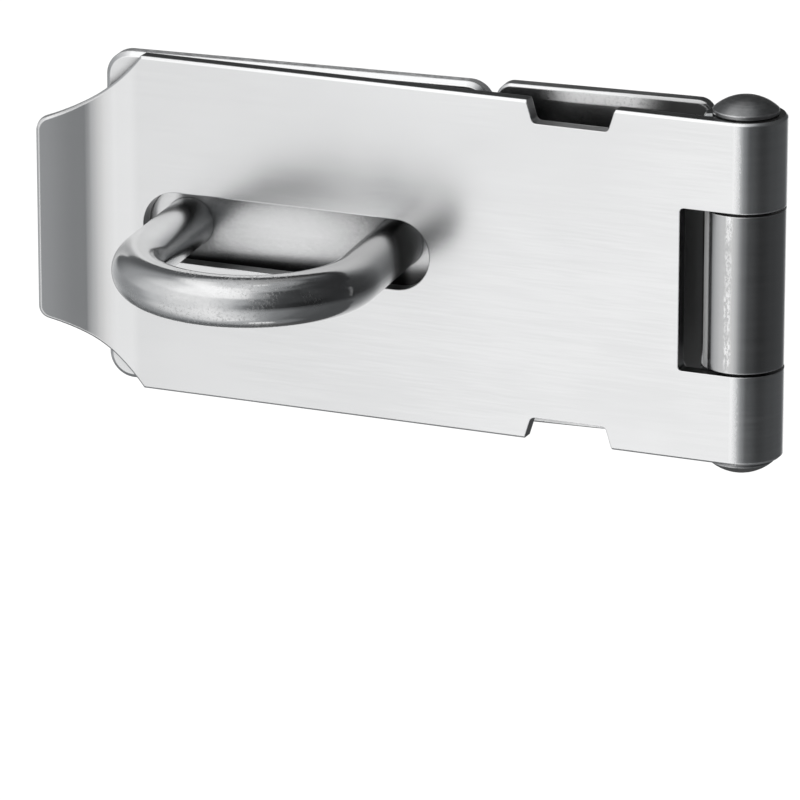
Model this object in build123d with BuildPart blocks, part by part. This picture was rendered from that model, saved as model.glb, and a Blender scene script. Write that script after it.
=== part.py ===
from build123d import *
import os
from math import acos, asin, atan2, cos, degrees, hypot, radians, sin, sqrt

# Concealed-screw hasp, shown closed, in millimetres and degrees
# X runs along the hasp towards the hinge pin and Z is up
# Y points into the surface it is screwed to, so the front faces -Y
# The origin is the middle of the hinge leaf's screw holes, on its back face

# Driving sizes: sheet and overall
sheet = 2.0
hasp_height = 44.0
hinge_leaf_width = 28.1
staple_plate_width = 51.4
plate_edge_setback = 0.3
plate_joint_gap = 0.6

# Driving sizes: hinge
pin_diameter = 6.3
pin_running_gap = 0.05
pin_from_leaf_edge = 5.3
knuckle_off_wall = 0.3
middle_knuckle_length = 20.2
knuckle_side_gap = 0.4
roll_end_gap = 0.7
crank_length = 9.0
pin_end_play = 0.15
pin_head_diameter = 8.3
pin_head_rim = 0.45
pin_head_dome = 1.65

# Driving sizes: swing leaf, measured from the pin along the leaf
window_reach = 6.6
window_corner_radius = 0.5
notch_middle = 21.2
notch_mouth = 11.8
notch_floor = 10.0
notch_depth = 2.9
notch_corner_radius = 0.7
slot_near_end = 40.0
slot_height = 9.2
slot_clearance = 0.6
shoulder_start = 79.6
shoulder_fall_angle = 52.0
tab_start = 83.0
tab_bend_radius = 10.5
tab_bend_angle = 22.5
tab_length = 6.2
tab_tip_height = 26.0
tab_corner_radius = 1.8
rest_gap = 0.25

# Driving sizes: staple
staple_bar = 6.5
staple_spacing = 28.0
staple_straight = 16.5
staple_from_pin = 60.2
rivet_flare = 1.0

# Driving sizes: plates and their countersunk screw holes
leaf_corner_radius = 2.0
plate_corner_radius = 3.3
tongue_corner_radius = 0.8
screw_hole_diameter = 4.4
screw_head_diameter = 7.6
leaf_screws_x = 15.0
leaf_screws_z = 28.0
plate_screws_x = 36.0
plate_screws_z = 30.0

# Driving sizes: softened front edges
leaf_softening = 0.3
plate_softening = 0.6

# Sizes worked out for the hinge
pin_radius = pin_diameter / 2
swing_bore = pin_radius + pin_running_gap
swing_knuckle = swing_bore + sheet
middle_knuckle = pin_radius + sheet
pin_x = hinge_leaf_width / 2 + pin_from_leaf_edge
pin_y = -(swing_knuckle + knuckle_off_wall)
half_height = hasp_height / 2
half_middle = middle_knuckle_length / 2
past_edge = half_height + sheet
past_knuckle = swing_knuckle + sheet

# The leaf slopes to the wall until the start of its tab almost meets the staple plate
seat_height = -pin_y - sheet - rest_gap
seat_reach = hypot(tab_start, swing_bore)
closed_slope = asin(seat_height / seat_reach) + atan2(swing_bore, tab_start)
leaf_along = (-cos(closed_slope), sin(closed_slope), 0)
leaf_inward = (sin(closed_slope), cos(closed_slope), 0)
leaf_section = Plane(origin=(pin_x, pin_y, 0), x_dir=leaf_along, z_dir=(0, 0, 1))
leaf_face = Plane(origin=(pin_x, pin_y, 0), x_dir=leaf_along, z_dir=leaf_inward)

# The slot runs past everything that the staple reaches as the leaf swings over it
bend_radius = staple_spacing / 2
bar_radius = staple_bar / 2
staple_x = pin_x - staple_from_pin
bend_y = -sheet - staple_straight
bend_from_pin = hypot(staple_from_pin, bend_y - pin_y)
staple_reach = bend_from_pin + bend_radius + bar_radius
slot_far_end = sqrt((staple_reach + slot_clearance) ** 2 - swing_bore**2)
slot_length = slot_far_end - slot_near_end
slot_middle = (slot_far_end + slot_near_end) / 2

# Ends of the strip that the swing leaf is bent from
swing_roll_turn = 270 + degrees(asin((swing_bore - roll_end_gap) / swing_knuckle))
tab_bend = radians(tab_bend_angle)
tab_end = tab_start + tab_bend_radius * sin(tab_bend) + tab_length * cos(tab_bend)
tab_half = tab_tip_height / 2
past_tab = swing_knuckle + tab_length
shoulder_fall = radians(shoulder_fall_angle)
notch_bottom = half_height - notch_depth
notch_spread = (notch_mouth - notch_floor) / 2 * (past_edge - notch_bottom) / notch_depth
notch_past_mouth = notch_floor / 2 + notch_spread

# The hinge leaf's tongue cranks off the wall, out to the middle knuckle
crank_x = pin_x - crank_length
crank_reach = hypot(pin_y, crank_length)
crank_angle = acos(middle_knuckle / crank_reach) - atan2(crank_length, -pin_y)
wrap_start = 90 + degrees(crank_angle)
wrap_turn = -(wrap_start + 180 + degrees(asin((pin_radius - roll_end_gap) / middle_knuckle)))

# Sizes and places of the two plates
staple_plate_height = hasp_height - 2 * plate_edge_setback
leaf_left = -hinge_leaf_width / 2
leaf_right = hinge_leaf_width / 2
plate_x = leaf_left - plate_joint_gap - staple_plate_width / 2
plates_front = Plane(origin=(0, -sheet, 0), x_dir=(1, 0, 0), z_dir=(0, -1, 0))
plates_back = Plane(origin=(0, 0, 0), x_dir=(1, 0, 0), z_dir=(0, -1, 0))


def border(skin):
    """Edges round the outside of a set of neighbouring faces."""
    every = [edge for face in skin for edge in face.edges()]
    return [edge for edge in every if sum(edge.is_same(other) for other in every) == 1]


# Swing leaf: one strip that is bent outwards at its free end and rolls round the pin
with BuildPart() as swing_leaf:
    with BuildSketch(leaf_section):
        with BuildLine():
            Line((0, swing_knuckle), (tab_start, swing_knuckle))
            bend_middle = (tab_start, swing_knuckle + tab_bend_radius)
            bend_front = CenterArc(bend_middle, tab_bend_radius, -90, tab_bend_angle)
            bend_back = CenterArc(bend_middle, tab_bend_radius + sheet, -90, tab_bend_angle)
            tab_front = Line(bend_front @ 1, bend_front @ 1 + (bend_front % 1) * tab_length)
            tab_back = Line(bend_back @ 1, bend_back @ 1 + (bend_back % 1) * tab_length)
            Line(tab_front @ 1, tab_back @ 1)
            Line((tab_start, swing_bore), (0, swing_bore))
            roll_outer = CenterArc((0, 0), swing_knuckle, 90, swing_roll_turn)
            roll_inner = CenterArc((0, 0), swing_bore, 90, swing_roll_turn)
            Line(roll_outer @ 1, roll_inner @ 1)
        make_face()
    extrude(amount=half_height, both=True)

    # Window that lets the middle knuckle in
    with BuildSketch(leaf_face):
        with Locations(((window_reach - past_knuckle) / 2, 0)):
            Rectangle(window_reach + past_knuckle, 2 * (half_middle + knuckle_side_gap))
        fillet(vertices().group_by(Axis.X)[-1], window_corner_radius)
    extrude(amount=past_knuckle, both=True, mode=Mode.SUBTRACT)

    # Slot over the staple
    with BuildSketch(leaf_face):
        with Locations((slot_middle, 0)):
            SlotOverall(slot_length, slot_height)
    extrude(amount=-past_knuckle, mode=Mode.SUBTRACT)

    # Notch in each long edge
    with BuildSketch(leaf_face):
        for side in (1, -1):
            with BuildLine():
                Polyline(
                    (notch_middle - notch_past_mouth, side * past_edge),
                    (notch_middle - notch_floor / 2, side * notch_bottom),
                    (notch_middle + notch_floor / 2, side * notch_bottom),
                    (notch_middle + notch_past_mouth, side * past_edge),
                    close=True,
                )
            make_face()
        notch_rows = vertices().group_by(Axis.Y)
        fillet(notch_rows[1] + notch_rows[2], notch_corner_radius)
    extrude(amount=-past_knuckle, mode=Mode.SUBTRACT)

    # Hollow shoulder on each side of the tab
    with BuildSketch(leaf_face):
        for side in (1, -1):
            with BuildLine():
                shoulder = TangentArc(
                    (shoulder_start, side * half_height),
                    (tab_end, side * tab_half),
                    tangent=(cos(shoulder_fall), -side * sin(shoulder_fall)),
                )
                run_out = Line(shoulder @ 1, shoulder @ 1 + (shoulder % 1) * past_knuckle)
                Line(run_out @ 1, (tab_end + past_knuckle, side * past_edge))
                Line((tab_end + past_knuckle, side * past_edge), (shoulder_start, side * past_edge))
                Line((shoulder_start, side * past_edge), shoulder @ 0)
            make_face()
    extrude(amount=-past_tab, mode=Mode.SUBTRACT)

    # Rounded corners of the tab
    tip_edges = faces().sort_by(Axis.X)[0].edges()
    fillet(tip_edges.filter_by(lambda edge: abs(edge.tangent_at(0).Z) < 0.5), tab_corner_radius)

    # Outside edges of the front skin, from the tab's tip to the end of the roll, softened
    flat_front = [face for face in faces().filter_by(GeomType.PLANE) if face.normal_at().Y < -0.9]
    round_front = [
        face
        for face in faces().filter_by(GeomType.CYLINDER)
        if abs(face.radius - swing_knuckle) < leaf_softening / 2
        or abs(face.radius - tab_bend_radius) < leaf_softening / 2
    ]
    soft_edges = [
        edge
        for edge in border(flat_front + round_front)
        if abs(edge.center().Z) > half_height - leaf_softening
        or edge.center().X < pin_x - shoulder_start
    ]
    chamfer(soft_edges, leaf_softening)
swing_leaf.part.label = "swing_leaf"

# Hinge leaf: flat plate whose tongue cranks off the wall and rolls round the pin
with BuildPart() as hinge_leaf:
    with BuildSketch(Plane.XY):
        with BuildLine():
            Polyline((crank_x, 0), (leaf_left, 0), (leaf_left, -sheet), (crank_x, -sheet))
            wrap_outer = CenterArc((pin_x, pin_y), middle_knuckle, wrap_start, wrap_turn)
            wrap_inner = CenterArc((pin_x, pin_y), pin_radius, wrap_start, wrap_turn)
            Line((crank_x, 0), wrap_outer @ 0)
            Line((crank_x, -sheet), wrap_inner @ 0)
            Line(wrap_outer @ 1, wrap_inner @ 1)
        make_face()
    extrude(amount=half_height, both=True)

    # Only the tongue reaches the pin
    with BuildSketch(plates_back):
        clear_length = pin_from_leaf_edge + past_knuckle
        clear_height = past_edge - half_middle
        for side in (1, -1):
            with Locations((leaf_right + clear_length / 2, side * (half_middle + clear_height / 2))):
                Rectangle(clear_length, clear_height)
    extrude(amount=2 * past_knuckle, both=True, mode=Mode.SUBTRACT)

    # Rounded corners, and front edges softened like the swing leaf's
    upright = edges().filter_by(Axis.Y)
    right_corners = upright.filter_by(lambda edge: abs(edge.center().X - leaf_right) < sheet / 2)
    right_rows = right_corners.sort_by(Axis.Z)
    outer_corners = upright.group_by(Axis.X)[0] + [right_rows[0], right_rows[-1]]
    fillet(right_rows[1:-1], tongue_corner_radius)
    fillet(outer_corners, leaf_corner_radius)
    front_faces = [
        face
        for face in faces().filter_by(GeomType.PLANE)
        if face.normal_at().Y < -0.99 and face.center().Y < -sheet / 2
    ]
    front_edges = [edge for edge in border(front_faces) if edge.center().X < leaf_right]
    chamfer(front_edges, leaf_softening)

    # Countersunk screw holes
    with Locations(plates_front):
        with GridLocations(leaf_screws_x, leaf_screws_z, 2, 2):
            CounterSinkHole(screw_hole_diameter / 2, screw_head_diameter / 2, counter_sink_angle=90)
hinge_leaf.part.label = "hinge_leaf"

# Staple plate: flat plate with countersunk screw holes and two holes for the staple
with BuildPart() as staple_plate:
    with BuildSketch(plates_back):
        with Locations((plate_x, 0)):
            RectangleRounded(staple_plate_width, staple_plate_height, plate_corner_radius)
    extrude(amount=sheet)
    with Locations(plates_front):
        with Locations((plate_x, 0)):
            with GridLocations(plate_screws_x, plate_screws_z, 2, 2):
                CounterSinkHole(
                    screw_hole_diameter / 2,
                    screw_head_diameter / 2,
                    counter_sink_angle=90,
                )
    with Locations(plates_back):
        with Locations((staple_x, 0)):
            with GridLocations(staple_spacing, 1, 2, 1):
                Hole(bar_radius)
                Cone(
                    bar_radius + rivet_flare,
                    bar_radius,
                    rivet_flare,
                    align=(Align.CENTER, Align.CENTER, Align.MIN),
                    mode=Mode.SUBTRACT,
                )
    front_rim = faces().sort_by(Axis.Y)[0].outer_wire().edges()
    chamfer(front_rim, plate_softening)
staple_plate.part.label = "staple_plate"

# Staple: round bar bent to a U, its ends riveted into the back of the staple plate
with BuildPart() as staple:
    with BuildLine():
        Line((staple_x + bend_radius, 0), (staple_x + bend_radius, bend_y))
        CenterArc((staple_x, bend_y), bend_radius, 0, -180)
        Line((staple_x - bend_radius, bend_y), (staple_x - bend_radius, 0))
    with BuildSketch(plates_back):
        with Locations((staple_x + bend_radius, 0)):
            Circle(bar_radius)
    sweep()
    with Locations(plates_back):
        with Locations((staple_x, 0)):
            with GridLocations(staple_spacing, 1, 2, 1):
                Cone(
                    bar_radius + rivet_flare,
                    bar_radius,
                    rivet_flare,
                    align=(Align.CENTER, Align.CENTER, Align.MIN),
                )
staple.part.label = "staple"

# Hinge pin with a low domed head at both ends
with BuildPart() as hinge_pin:
    with BuildSketch(Plane(origin=(pin_x, pin_y, 0), x_dir=(1, 0, 0), z_dir=(0, -1, 0))):
        with BuildLine():
            head_seat = half_height + pin_end_play
            head_radius = pin_head_diameter / 2
            rim_top = head_seat + pin_head_rim
            dome_top = rim_top + pin_head_dome
            Line((0, 0), (pin_radius, 0))
            Line((pin_radius, 0), (pin_radius, head_seat))
            Line((pin_radius, head_seat), (head_radius, head_seat))
            Line((head_radius, head_seat), (head_radius, rim_top))
            TangentArc((0, dome_top), (head_radius, rim_top), tangent=(1, 0))
            Line((0, dome_top), (0, 0))
        make_face()
    revolve(axis=Axis((pin_x, pin_y, 0), (0, 0, 1)))
    mirror(about=Plane.XY)
hinge_pin.part.label = "hinge_pin"

os.makedirs("parts", exist_ok=True)
export_step(swing_leaf.part, "parts/swing_leaf.step")
export_step(hinge_leaf.part, "parts/hinge_leaf.step")
export_step(staple_plate.part, "parts/staple_plate.step")
export_step(staple.part, "parts/staple.step")
export_step(hinge_pin.part, "parts/hinge_pin.step")
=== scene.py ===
import math

import bpy
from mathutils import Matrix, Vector


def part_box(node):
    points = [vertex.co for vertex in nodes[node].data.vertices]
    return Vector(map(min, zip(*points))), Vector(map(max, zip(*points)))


# Looks of the stainless steel hasp, in metres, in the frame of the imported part
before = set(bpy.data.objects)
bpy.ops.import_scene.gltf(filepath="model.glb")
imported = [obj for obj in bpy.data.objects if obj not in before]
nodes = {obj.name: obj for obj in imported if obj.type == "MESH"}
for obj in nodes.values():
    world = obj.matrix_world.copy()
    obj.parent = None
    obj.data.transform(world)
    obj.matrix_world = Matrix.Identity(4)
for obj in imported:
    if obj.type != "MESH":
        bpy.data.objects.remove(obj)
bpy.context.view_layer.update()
scene = bpy.context.scene

# Hinge pin axis, from the pin's own box
pin_low, pin_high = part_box("hinge_pin")
pin_axis = ((pin_low + pin_high) / 2).to_2d()

# Middle of the staple between its legs
staple_low, staple_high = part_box("staple")
staple_middle = (staple_low.x + staple_high.x) / 2

# Height of the hinge leaf's upper edge, and of its lower one below the middle
plate_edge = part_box("hinge_leaf")[1].z

# Rolled knuckles: distances from the pin's axis, just past their skin and clear of it
knuckle_skin = 0.0056
knuckle_clear = 0.0062

# Front of the two plates: depths between which a mark that is on the front alone fades in
front_start = -0.0018
front_full = -0.00195

# Directions square to the sheets, from front to back
through_plates = (0, 1, 0)
through_leaf = (0.0776, 0.997, 0.0)

# Grain of the brushed sheets, finer upwards than along the hasp
brushed_grain = (120, 120, 2600)


# Node helpers
class Graph:
    """Short hands for the node tree of one material or world."""

    def __init__(self, owner):
        owner.use_nodes = True
        self.tree = owner.node_tree
        self.tree.nodes.clear()

    def add(self, kind, ins=None, **props):
        node = self.tree.nodes.new(kind)
        for key, value in props.items():
            setattr(node, key, value)
        for key, value in (ins or {}).items():
            self.plug(node.inputs[key], value)
        return node

    def plug(self, socket, value):
        if isinstance(value, bpy.types.NodeSocket):
            self.tree.links.new(value, socket)
        else:
            socket.default_value = value

    def math(self, operation, a, b=0.0, clamp=False):
        node = self.add("ShaderNodeMath", {0: a, 1: b}, operation=operation, use_clamp=clamp)
        return node.outputs[0]

    def plus(self, a, b):
        return self.math("ADD", a, b)

    def minus(self, a, b, clamp=False):
        return self.math("SUBTRACT", a, b, clamp)

    def times(self, *factors):
        product = factors[0]
        for factor in factors[1:]:
            product = self.math("MULTIPLY", product, factor)
        return product

    def gap(self, a, b):
        return self.math("ABSOLUTE", self.minus(a, b))

    def vector(self, operation, a, b=(0, 0, 0)):
        node = self.add("ShaderNodeVectorMath", {0: a, 1: b}, operation=operation)
        return node.outputs["Value" if operation in ("DOT_PRODUCT", "LENGTH") else "Vector"]

    def split(self, point):
        return self.add("ShaderNodeSeparateXYZ", {0: point}).outputs

    def ramp(self, value, low, high, to_low=0.0, to_high=1.0):
        ins = {"Value": value, "From Min": low, "From Max": high, "To Min": to_low, "To Max": to_high}
        return self.add("ShaderNodeMapRange", ins, interpolation_type="SMOOTHSTEP").outputs["Result"]

    def noise(self, point, stretch, detail=3.0, rough=0.6, warp=0.0):
        scaled = self.vector("MULTIPLY", point, stretch)
        ins = {"Vector": scaled, "Scale": 1.0, "Detail": detail, "Roughness": rough, "Distortion": warp}
        return self.add("ShaderNodeTexNoise", ins).outputs["Fac"]

    def mix(self, factor, a, b):
        node = self.add("ShaderNodeMix", data_type="RGBA", clamp_factor=True)
        for socket, value in zip((node.inputs[0], node.inputs[6], node.inputs[7]), (factor, a, b)):
            self.plug(socket, value)
        return node.outputs[2]


def grey(level, tint=0.0):
    """A grey colour, a little bluer with more tint."""
    return (level * (1 - tint), level, level * (1 + tint), 1.0)


# Places on the pieces
def from_pin(g, point):
    """Distance of a point from the hinge pin's axis, across the pin."""
    across = g.vector("SUBTRACT", point, (pin_axis.x, pin_axis.y, 0.0))
    return g.vector("LENGTH", g.vector("MULTIPLY", across, (1, 1, 0)))


def round_pin(g, point):
    """Angle of a point round the pin, from the front towards the right, in radians."""
    x, y, z = g.split(point)
    return g.math("ARCTAN2", g.minus(x, pin_axis.x), g.minus(pin_axis.y, y))


def cut_walls(g, point, normal, through, rolled):
    """Mask of the walls cut through a sheet: square to its skin, and only its ends where it is rolled."""
    facing = g.math("ABSOLUTE", g.vector("DOT_PRODUCT", normal, through))
    flat_cut = g.times(g.ramp(facing, 0.6, 0.35), g.ramp(from_pin(g, point), rolled, rolled + 0.0004))
    upright = g.math("ABSOLUTE", g.vector("DOT_PRODUCT", normal, (0, 0, 1)))
    return g.math("MAXIMUM", flat_cut, g.ramp(upright, 0.75, 0.95))


# Steel
def grain_pattern(g, point, grain):
    """Grain lines that fade in and out over the sheet, and the same lines with cloudy patches."""
    long_share = 0.38
    cloud_share = 0.4
    middle = 0.5
    fine = g.noise(point, grain, 4.0, 0.65)
    long_lines = g.noise(point, tuple(0.28 * s for s in grain), 3.0, 0.55)
    clouds = g.noise(point, (38, 38, 70), 2.0, 0.5, 0.4)
    brushed = g.ramp(g.noise(point, (26, 26, 34), 1.0, 0.4), 0.4, 0.6, 0.35, 1.0)
    lines = g.plus(g.times(fine, 1 - long_share), g.times(long_lines, long_share))
    lines = g.plus(g.times(g.minus(lines, middle), brushed), middle)
    patchy = g.plus(g.times(lines, 1 - cloud_share), g.times(clouds, cloud_share))
    return lines, patchy


def hidden_places(g, point, open_to_light, closed_in):
    """Mask of the places closed in by other metal, where shade is painted, but not of the rolled knuckles.
    """
    openness = g.add("ShaderNodeAmbientOcclusion", {"Distance": 0.01}, samples=8).outputs["AO"]
    return g.times(g.ramp(openness, open_to_light, closed_in), g.ramp(from_pin(g, point), 0.01, 0.013))


def worn_and_highlit_edges(g, lines, hidden):
    """Mask of the edges polished by handling and painted brighter as highlights, broken up by the grain and
    weaker in hidden places.
    """
    normal = g.add("ShaderNodeNewGeometry").outputs["Normal"]
    wide = g.add("ShaderNodeBevel", {"Radius": 0.0003}, samples=4).outputs["Normal"]
    flatness = g.vector("DOT_PRODUCT", wide, normal)
    wear_and_highlight = g.times(g.ramp(flatness, 0.995, 0.9), g.ramp(lines, 0.35, 0.6, 0.55, 1.0))
    return g.times(wear_and_highlight, g.minus(1.0, g.times(hidden, 0.8)))


def steel(name, dark, light, rough, spread, grain, grain_depth,
          anisotropy=0.0, extra=None, sheet=None, edges=True):
    """Worked stainless steel: grain lines, cloudy patches, and edges polished by handling and painted
    brighter as highlights.

    The roughness lies within the spread on both sides of its middle value. The extra adds the
    marks of one piece. It also says where the metal stays clear of shade and where it is frosted.
    The sheet holds what its cut walls, hidden places and back need, among them the painted shade of the cut
    walls and hidden places.
    """
    material = bpy.data.materials.new(name)
    g = Graph(material)
    place = g.add("ShaderNodeTexCoord").outputs
    point = place["Object"]
    lines, patchy = grain_pattern(g, point, grain)
    colour = g.mix(g.ramp(patchy, 0.38, 0.62), dark, light)
    roughness = g.ramp(patchy, 0.35, 0.65, rough - spread, rough + spread)
    hidden, clear, frosted = 0.0, 0.0, 0.0
    if extra:
        colour, roughness, clear, frosted = extra(g, point, colour, roughness)
    if sheet:
        cut = cut_walls(g, point, place["Normal"], sheet["through"], sheet["rolled"])
        hidden = hidden_places(g, point, sheet["open_to_light"], sheet["closed_in"])
        # Painted shade: cut walls and places closed in by other metal are darkened towards a dark grey
        painted_shade = g.math("MAXIMUM", g.times(cut, sheet["cut_wall_shade"]), g.times(hidden, 0.93))
        colour = g.mix(g.times(painted_shade, g.minus(1.0, clear)), colour, grey(0.08, 0.02))
        back = g.ramp(g.vector("DOT_PRODUCT", place["Normal"], sheet["through"]), 0.7, 0.95)
        roughness = g.plus(roughness, g.times(cut, sheet["cut_rough"]))
        roughness = g.plus(roughness, g.times(back, 0.3))
    bump_ins = {"Strength": 1.0, "Distance": grain_depth, "Height": lines}
    if edges:
        # Edges polished by handling, also painted brighter as highlight lines
        wear_and_highlight = worn_and_highlit_edges(g, lines, hidden)
        colour = g.mix(wear_and_highlight, colour, grey(0.88, 0.005))
        roughness = g.minus(roughness, g.times(wear_and_highlight, rough * 0.35), True)
        bump_ins["Normal"] = g.add("ShaderNodeBevel", {"Radius": 0.00022}, samples=6).outputs["Normal"]
    bump = g.add("ShaderNodeBump", bump_ins).outputs["Normal"]
    metallic = g.minus(1.0, g.times(frosted, 0.7))
    ins = {"Base Color": colour, "Metallic": metallic, "Roughness": roughness, "Normal": bump}
    if anisotropy:
        ins["Anisotropic"] = anisotropy
        ins["Tangent"] = g.add("ShaderNodeCombineXYZ", {"Z": 1.0}).outputs[0]
    shader = g.add("ShaderNodeBsdfPrincipled", ins)
    g.add("ShaderNodeOutputMaterial", {"Surface": shader.outputs[0]})
    return material


# Marks of the single pieces
def scuffs(g, point, first, last):
    """Specks scuffed bright along a knuckle, between two angles round the pin from the front."""
    middle = math.radians((first + last) / 2)
    half = math.radians((last - first) / 2)
    wander = g.times(g.minus(g.noise(point, (0, 0, 160), 2.0), 0.5), 0.16)
    around = g.plus(round_pin(g, point), wander)
    near = g.ramp(g.gap(around, middle), half, 0.3 * half)
    near = g.times(near, g.ramp(from_pin(g, point), knuckle_clear, knuckle_skin))
    specks = g.ramp(g.noise(point, (4200, 4200, 1500), 3.0, 0.75), 0.42, 0.6)
    patches = g.ramp(g.noise(point, (0, 0, 240), 2.0), 0.38, 0.56, 0.35, 1.0)
    return g.times(near, specks, patches)


def leaf_extra(g, point, colour, roughness):
    """Knuckles and tab ground smoother than the flat, and a scuffed line on the knuckles. Painted
    highlights on the front of the knuckles and beside the bend, painted shade on the tab and towards the
    far end, and a tip polished brighter that is also a painted highlight.
    """
    bend_start = 0.0825
    distance = from_pin(g, point)
    around = round_pin(g, point)

    # Masks by the distance from the pin and the angle round it: where each starts and where it is full
    knuckle = g.times(g.ramp(around, -0.08, 0.03), g.ramp(around, 0.4, 0.15))
    knuckle = g.times(knuckle, g.ramp(distance, 0.0075, 0.006))
    bend_highlight = g.ramp(g.gap(distance, bend_start), 0.0026, 0.001)
    far_half_shade = g.ramp(distance, 0.03, 0.085)
    tab = g.ramp(distance, 0.0832, 0.086)
    tip = g.ramp(distance, 0.0885, 0.093)
    worn_line = scuffs(g, point, -1, 11)

    # What each mask does to the metal
    # Painted shade: darker towards the far end of the leaf
    colour = g.mix(g.times(far_half_shade, 0.3), colour, grey(0.64))
    # Painted highlight along the front of the outer knuckles
    colour = g.mix(knuckle, colour, grey(0.97))
    # Painted highlight in a band beside the bend of the tab
    colour = g.mix(g.times(bend_highlight, 0.45), colour, grey(0.93))
    # Painted shade over the tab
    colour = g.mix(g.times(tab, 0.66), colour, grey(0.5))
    # Tip polished brighter, also a painted highlight
    colour = g.mix(g.times(tip, 0.45), colour, grey(0.97))
    colour = g.mix(g.times(worn_line, 0.8), colour, grey(0.95))
    knuckle_smooth = g.ramp(distance, 0.014, knuckle_skin, 0.0, 0.07)
    tab_smooth = g.ramp(distance, 0.079, 0.085, 0.0, 0.12)
    roughness = g.minus(roughness, g.plus(knuckle_smooth, tab_smooth))
    roughness = g.plus(roughness, g.times(worn_line, 0.3))
    return colour, roughness, 0.0, 0.0


def long_edges(g, point):
    """Masks along the long edges of the hinge leaf's front: painted highlight on a band of wear and on the
    softened edge, and painted shade in a strip by the hinge.
    """
    x, y, z = g.split(point)
    from_edge = g.minus(plate_edge, g.math("ABSOLUTE", z))
    on_front = g.ramp(y, front_start, front_full)
    near_middle = g.ramp(g.math("ABSOLUTE", x), 0.009, 0.003)
    uneven = g.ramp(g.noise(point, (2600, 2600, 2600), 2.0), 0.3, 0.55, 0.7, 1.0)
    # A band of wear marks near the long edges, also painted bright as a highlight
    rubbed_and_highlit = g.times(g.ramp(from_edge, 0.0018, 0.0015), near_middle, on_front, uneven)
    # Painted highlight on the softened front edge
    softened_edge_highlight = g.times(g.ramp(from_edge, 0.0004, 0.00028), g.ramp(y, -0.0016, -0.0017))
    softened_edge_highlight = g.times(softened_edge_highlight, g.ramp(x, -0.002, 0.004, 0.0, 0.75))
    # Painted shade in a strip near the long edges towards the hinge
    shade_by_hinge = g.times(g.ramp(from_edge, 0.005, 0.0025), g.ramp(x, 0.002, 0.007, 0.0, 0.75), on_front)
    return g.math("MAXIMUM", rubbed_and_highlit, softened_edge_highlight), shade_by_hinge


def tongue_extra(g, point, colour, roughness):
    """Middle knuckle painted darker as shade and scuffed with a light seam, tongue painted dark as shade,
    long edges of the plate painted bright as highlights, and a strip by the hinge painted dark as shade.
    """
    seam_angle = -0.87
    distance = from_pin(g, point)

    # Masks: where each starts and where it is full
    knuckle = g.ramp(distance, knuckle_clear, 0.0054)
    worn_line = scuffs(g, point, -14, 0)
    tongue = g.times(g.ramp(distance, 0.0055, 0.0063), g.ramp(distance, 0.02, 0.012))
    seam = g.ramp(g.gap(round_pin(g, point), seam_angle), 0.17, 0.1, 0.0, 0.6)
    seam = g.times(seam, g.ramp(distance, knuckle_clear, knuckle_skin))
    painted_edge_highlight, painted_shade_strip = long_edges(g, point)

    # What each mask does to the metal
    # Painted shade: the middle knuckle darker
    colour = g.mix(g.times(knuckle, 0.7), colour, grey(0.5))
    colour = g.mix(worn_line, colour, grey(0.95))
    # Painted shade over the tongue near the knuckle, with more roughness
    colour = g.mix(g.times(tongue, 0.8), colour, grey(0.14))
    colour = g.mix(seam, colour, grey(0.95))
    # Painted shade strip by the hinge
    colour = g.mix(painted_shade_strip, colour, grey(0.07))
    # Painted highlight along the long edges
    colour = g.mix(painted_edge_highlight, colour, grey(0.97))
    roughness = g.plus(roughness, g.times(worn_line, 0.2))
    roughness = g.plus(roughness, g.times(tongue, 0.35))
    roughness = g.plus(roughness, g.times(seam, 0.4))
    roughness = g.plus(roughness, g.times(painted_edge_highlight, 0.5))
    clear = g.math("MAXIMUM", painted_edge_highlight, seam)
    return colour, roughness, clear, clear


def foot_extra(g, point, colour, roughness):
    """Lit patches beside the feet of the staple, on the side away from its middle: kept clear of the
    painted shade, and a little frosted.
    """
    x, y, z = g.split(point)
    aside = g.gap(x, staple_middle)
    clear = g.times(g.ramp(aside, 0.0145, 0.016), g.ramp(aside, 0.0235, 0.0215))
    clear = g.times(clear, g.ramp(g.math("ABSOLUTE", z), 0.009, 0.0055))
    clear = g.times(clear, g.ramp(y, front_start, front_full))
    return colour, roughness, clear, g.times(clear, 0.25)


def pin_extra(g, point, colour, roughness):
    """Rings left by forming the domed heads."""
    outwards = g.add("ShaderNodeCombineXYZ", {"X": from_pin(g, point)}).outputs[0]
    rings = g.noise(outwards, (4200, 0, 0), 2.0)
    colour = g.mix(g.ramp(rings, 0.45, 0.7, 0.0, 0.5), colour, grey(0.42))
    return colour, roughness, 0.0, 0.0


def staple_extra(g, point, colour, roughness):
    """Specks on the foremost part of the bend, satin legs, painted shade on the leg on the hinge side, and
    ground rivet ends.
    """
    x, depth, z = g.split(point)

    # Masks: where each starts and where it is full
    foremost = g.ramp(depth, -0.0275, -0.0315)
    patch = g.times(foremost, g.ramp(g.noise(point, (150, 150, 150), 1.0), 0.38, 0.56))
    pits = g.times(g.ramp(g.noise(point, (3000, 3000, 3000), 3.0, 0.7), 0.5, 0.62), patch)
    hinge_side_shade = g.ramp(g.minus(x, staple_middle), 0.004, 0.014)
    legs = g.ramp(depth, -0.024, -0.012)
    rivet_ends = g.ramp(depth, -0.001, -0.0001)

    # What each mask does to the metal
    colour = g.mix(g.times(pits, 0.35), colour, grey(0.4))
    # Painted shade on the leg on the hinge side
    colour = g.mix(g.times(hinge_side_shade, 0.7), colour, grey(0.35))
    roughness = g.plus(roughness, g.times(pits, 0.3))
    roughness = g.plus(roughness, g.times(legs, 0.1))
    roughness = g.plus(roughness, g.times(rivet_ends, 0.3))
    return colour, roughness, 0.0, 0.0


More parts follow.
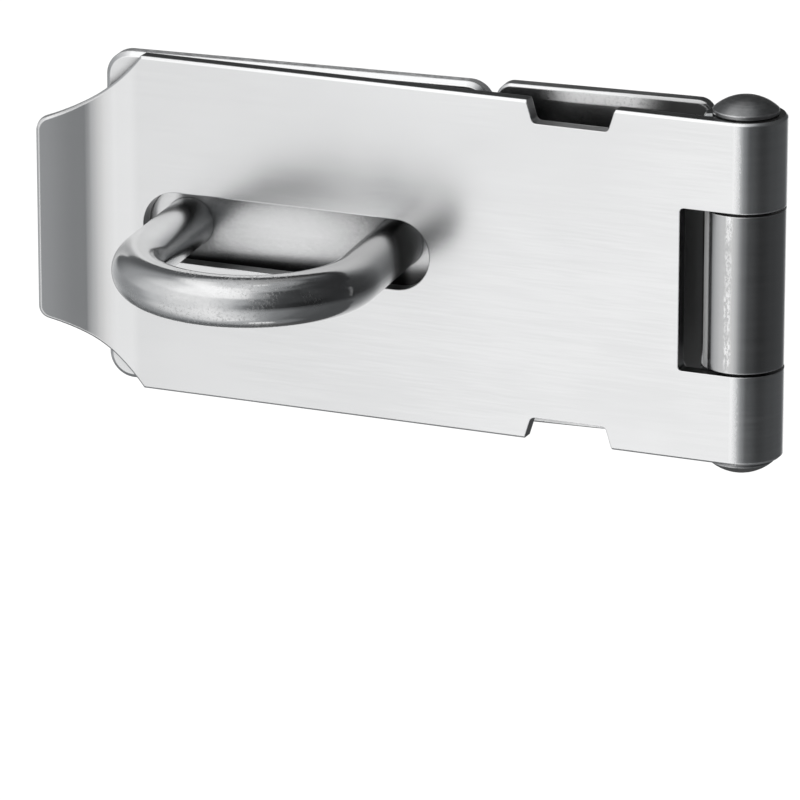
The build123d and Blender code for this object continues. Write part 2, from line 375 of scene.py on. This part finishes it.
leaf_steel = steel(
    "leaf_steel",
    dark=grey(0.82, 0.003),
    light=grey(0.875, 0.003),
    rough=0.245,
    spread=0.02,
    grain=brushed_grain,
    grain_depth=0.0000006,
    anisotropy=0.45,
    extra=leaf_extra,
    sheet={
        "through": through_leaf,
        "rolled": knuckle_skin,
        "cut_wall_shade": 0.85,
        "cut_rough": 0.1,
        "open_to_light": 0.66,
        "closed_in": 0.36,
    },
)
plate_steel = steel(
    "plate_steel",
    dark=grey(0.74, 0.004),
    light=grey(0.80, 0.004),
    rough=0.18,
    spread=0.03,
    grain=brushed_grain,
    grain_depth=0.0000006,
    anisotropy=0.4,
    extra=tongue_extra,
    sheet={
        "through": through_plates,
        "rolled": 0.009,
        "cut_wall_shade": 0.4,
        "cut_rough": 0.15,
        "open_to_light": 0.7,
        "closed_in": 0.45,
    },
)
staple_plate_steel = steel(
    "staple_plate_steel",
    dark=grey(0.75, 0.004),
    light=grey(0.81, 0.004),
    rough=0.22,
    spread=0.03,
    grain=brushed_grain,
    grain_depth=0.0000006,
    anisotropy=0.4,
    extra=foot_extra,
    sheet={
        "through": through_plates,
        "rolled": 0.009,
        "cut_wall_shade": 0.0,
        "cut_rough": 0.35,
        "open_to_light": 0.72,
        "closed_in": 0.44,
    },
)
bar_steel = steel(
    "bar_steel",
    dark=grey(0.66, 0.004),
    light=grey(0.76, 0.004),
    rough=0.13,
    spread=0.03,
    grain=(900, 900, 2600),
    grain_depth=0.0000005,
    extra=staple_extra,
    edges=False,
)
pin_steel = steel(
    "pin_steel",
    dark=grey(0.24, 0.01),
    light=grey(0.33, 0.01),
    rough=0.34,
    spread=0.06,
    grain=(1500, 1500, 1500),
    grain_depth=0.000001,
    extra=pin_extra,
)

finishes = {
    "swing_leaf": leaf_steel,
    "hinge_leaf": plate_steel,
    "staple_plate": staple_plate_steel,
    "staple": bar_steel,
    "hinge_pin": pin_steel,
}
for name, material in finishes.items():
    mesh = nodes[name].data
    mesh.materials.clear()
    mesh.materials.append(material)


# Studio: a white floor and white surroundings, and a curved screen that only the steel sees
def stage_mesh(name, points, faces, material):
    """A mesh of the studio, which is no part of the object."""
    mesh = bpy.data.meshes.new(name)
    mesh.from_pydata(points, [], faces)
    mesh.materials.append(material)
    thing = bpy.data.objects.new(name, mesh)
    scene.collection.objects.link(thing)
    return thing


floor_level = -0.6
floor_reach = 6.0
floor_paint = bpy.data.materials.new("floor_paint")
g = Graph(floor_paint)
ground = g.add("ShaderNodeTexCoord").outputs["Object"]
tone = g.mix(g.noise(ground, (5, 5, 5), 2.0), grey(0.9), grey(0.92))
paint = g.add("ShaderNodeBsdfDiffuse", {"Color": tone}).outputs[0]
glow = g.add("ShaderNodeEmission", {"Color": grey(1.0), "Strength": 0.12}).outputs[0]
glowing_paint = g.add("ShaderNodeAddShader", {0: paint, 1: glow}).outputs[0]
g.add("ShaderNodeOutputMaterial", {"Surface": glowing_paint})
stage_mesh(
    "floor",
    [
        (-floor_reach, -floor_reach, floor_level),
        (floor_reach, -floor_reach, floor_level),
        (floor_reach, floor_reach, floor_level),
        (-floor_reach, floor_reach, floor_level),
    ],
    [(0, 1, 2, 3)],
    floor_paint,
)


def bearing_ramp(g, bearing, stops):
    """Brightness all round, from stops of (degrees from the front towards the right, brightness)."""
    turn = g.math("FRACT", g.plus(g.math("DIVIDE", bearing, 2 * math.pi), 0.5))
    ramp = g.add("ShaderNodeValToRGB", {"Fac": turn})
    ramp.color_ramp.interpolation = "EASE"
    points = ramp.color_ramp.elements
    points.remove(points[-1])
    points[0].position = stops[0][0] / 360 + 0.5
    points[0].color = grey(stops[0][1])
    for angle, level in stops[1:]:
        points.new(angle / 360 + 0.5).color = grey(level, 0.04 * max(0.0, 1 - level))
    return ramp.outputs["Color"]


def curved_screen(radius, lowest, highest, columns, rows):
    """Corners and faces of a screen all round, between two elevations in degrees."""
    corners = []
    for i in range(columns):
        a = 2 * math.pi * i / columns
        for j in range(rows):
            e = math.radians(lowest + (highest - lowest) * j / (rows - 1))
            corners.append((
                radius * math.sin(a) * math.cos(e),
                -radius * math.cos(a) * math.cos(e),
                radius * math.sin(e),
            ))
    faces = []
    for i in range(columns):
        here = i * rows
        there = (i + 1) % columns * rows
        faces += [(here + j, there + j, there + j + 1, here + j + 1) for j in range(rows - 1)]
    return corners, faces


# Curved screen all round, as studios use to draw the tones on metal, seen only in reflections
screen_radius = 0.6
screen_paint = bpy.data.materials.new("screen_paint")
g = Graph(screen_paint)
x, y, z = g.split(g.add("ShaderNodeTexCoord").outputs["Object"])
bearing = g.math("ARCTAN2", x, g.times(y, -1.0))
height = g.math("DIVIDE", z, screen_radius)

# Each belt of the screen: where it starts and is full, as a share of the radius, and its tones all round
belts = [
    (-1.0, -0.99, [(-180, 0.3), (-60, 0.5), (0, 0.5), (60, 0.3), (179, 0.3)]),
    (-0.98, -0.93, [
        (-180, 0.12), (-130, 0.15), (-100, 0.35), (-60, 0.85), (-20, 1.05), (0, 0.85), (10, 0.72),
        (25, 0.45), (40, 0.31), (70, 0.18), (110, 0.14), (179, 0.12),
    ]),
    (-0.52, -0.36, [
        (-180, 0.85), (-140, 0.6), (-100, 0.34), (-86, 0.38), (-62, 0.7), (-46, 0.87), (-36, 0.88),
        (-30, 0.89), (-25, 0.94), (-20, 1.0), (-12, 0.93), (-3, 0.7), (6, 0.37), (14, 0.2), (30, 0.072),
        (62, 0.03), (100, 0.055), (125, 0.07), (150, 0.09), (165, 0.2), (179, 0.85),
    ]),
    (-0.08, 0.1, [
        (-180, 0.05), (-130, 0.12), (-100, 0.4), (-70, 0.75), (-40, 0.97), (-21, 0.97), (-6, 0.8),
        (8, 0.5), (20, 0.22), (40, 0.075), (72, 0.06), (100, 0.05), (179, 0.05),
    ]),
    (0.36, 0.52, [
        (-180, 0.05), (-130, 0.12), (-100, 0.4), (-70, 0.85), (-45, 1.2), (-10, 1.2), (8, 1.05), (22, 0.45),
        (38, 0.11), (60, 0.06), (76, 0.08), (90, 0.05), (179, 0.05),
    ]),
    (0.78, 0.87, [
        (-180, 0.3), (-120, 0.7), (-100, 1.1), (-50, 1.25), (-30, 1.2), (1, 1.03), (25, 0.65), (49, 0.36),
        (80, 0.12), (109, 0.06), (150, 0.1), (179, 0.3),
    ]),
    (0.92, 0.97, [(-180, 0.5), (-90, 0.75), (-11, 0.82), (66, 0.47), (149, 0.49), (179, 0.5)]),
]
tone = bearing_ramp(g, bearing, belts[0][2])
for start, full, stops in belts[1:]:
    tone = g.mix(g.ramp(height, start, full), tone, bearing_ramp(g, bearing, stops))
light = g.add("ShaderNodeEmission", {"Color": tone, "Strength": 1.0})
g.add("ShaderNodeOutputMaterial", {"Surface": light.outputs[0]})
corners, faces = curved_screen(screen_radius, lowest=-84, highest=86, columns=96, rows=35)
screen = stage_mesh("screen", corners, faces, screen_paint)
screen.visible_camera = False
screen.visible_diffuse = False
screen.visible_shadow = False

# Plain world, a little brighter overhead
world = bpy.data.worlds.new("studio")
scene.world = world
g = Graph(world)
upward = g.split(g.add("ShaderNodeTexCoord").outputs["Generated"])[2]
sky = g.ramp(upward, -0.2, 1.0, 1.0, 1.05)
background = g.add("ShaderNodeBackground", {"Color": grey(1.0), "Strength": sky})
g.add("ShaderNodeOutputWorld", {"Surface": background.outputs[0]})

# One soft lamp above the front left
lamp_aim = Vector((-0.03, -0.01, 0.0))
lamp_data = bpy.data.lights.new("soft_lamp", "AREA")
lamp_data.shape = "RECTANGLE"
lamp_data.size = 0.5
lamp_data.size_y = 0.25
lamp_data.energy = 0.4
lamp = bpy.data.objects.new("soft_lamp", lamp_data)
lamp.location = (-0.25, -0.45, 0.75)
lamp.rotation_mode = "QUATERNION"
lamp.rotation_quaternion = (lamp_aim - lamp.location).to_track_quat("-Z", "Y")
scene.collection.objects.link(lamp)

# Camera, fitted to the edges of the object
azimuth = math.radians(18.52)
elevation = math.radians(18.03)
camera_aim = Vector((
    -math.sin(azimuth) * math.cos(elevation),
    math.cos(azimuth) * math.cos(elevation),
    -math.sin(elevation),
))
camera_data = bpy.data.cameras.new("camera")
camera_data.sensor_width = 36.0
camera_data.lens = 331.8
camera_data.clip_start = 0.05
camera_data.clip_end = 20.0
camera = bpy.data.objects.new("camera", camera_data)
camera.location = (0.25584, -0.84529, 0.26860)
camera.rotation_mode = "QUATERNION"
camera.rotation_quaternion = camera_aim.to_track_quat("-Z", "Y")
scene.collection.objects.link(camera)
scene.camera = camera

scene.view_settings.view_transform = "Standard"
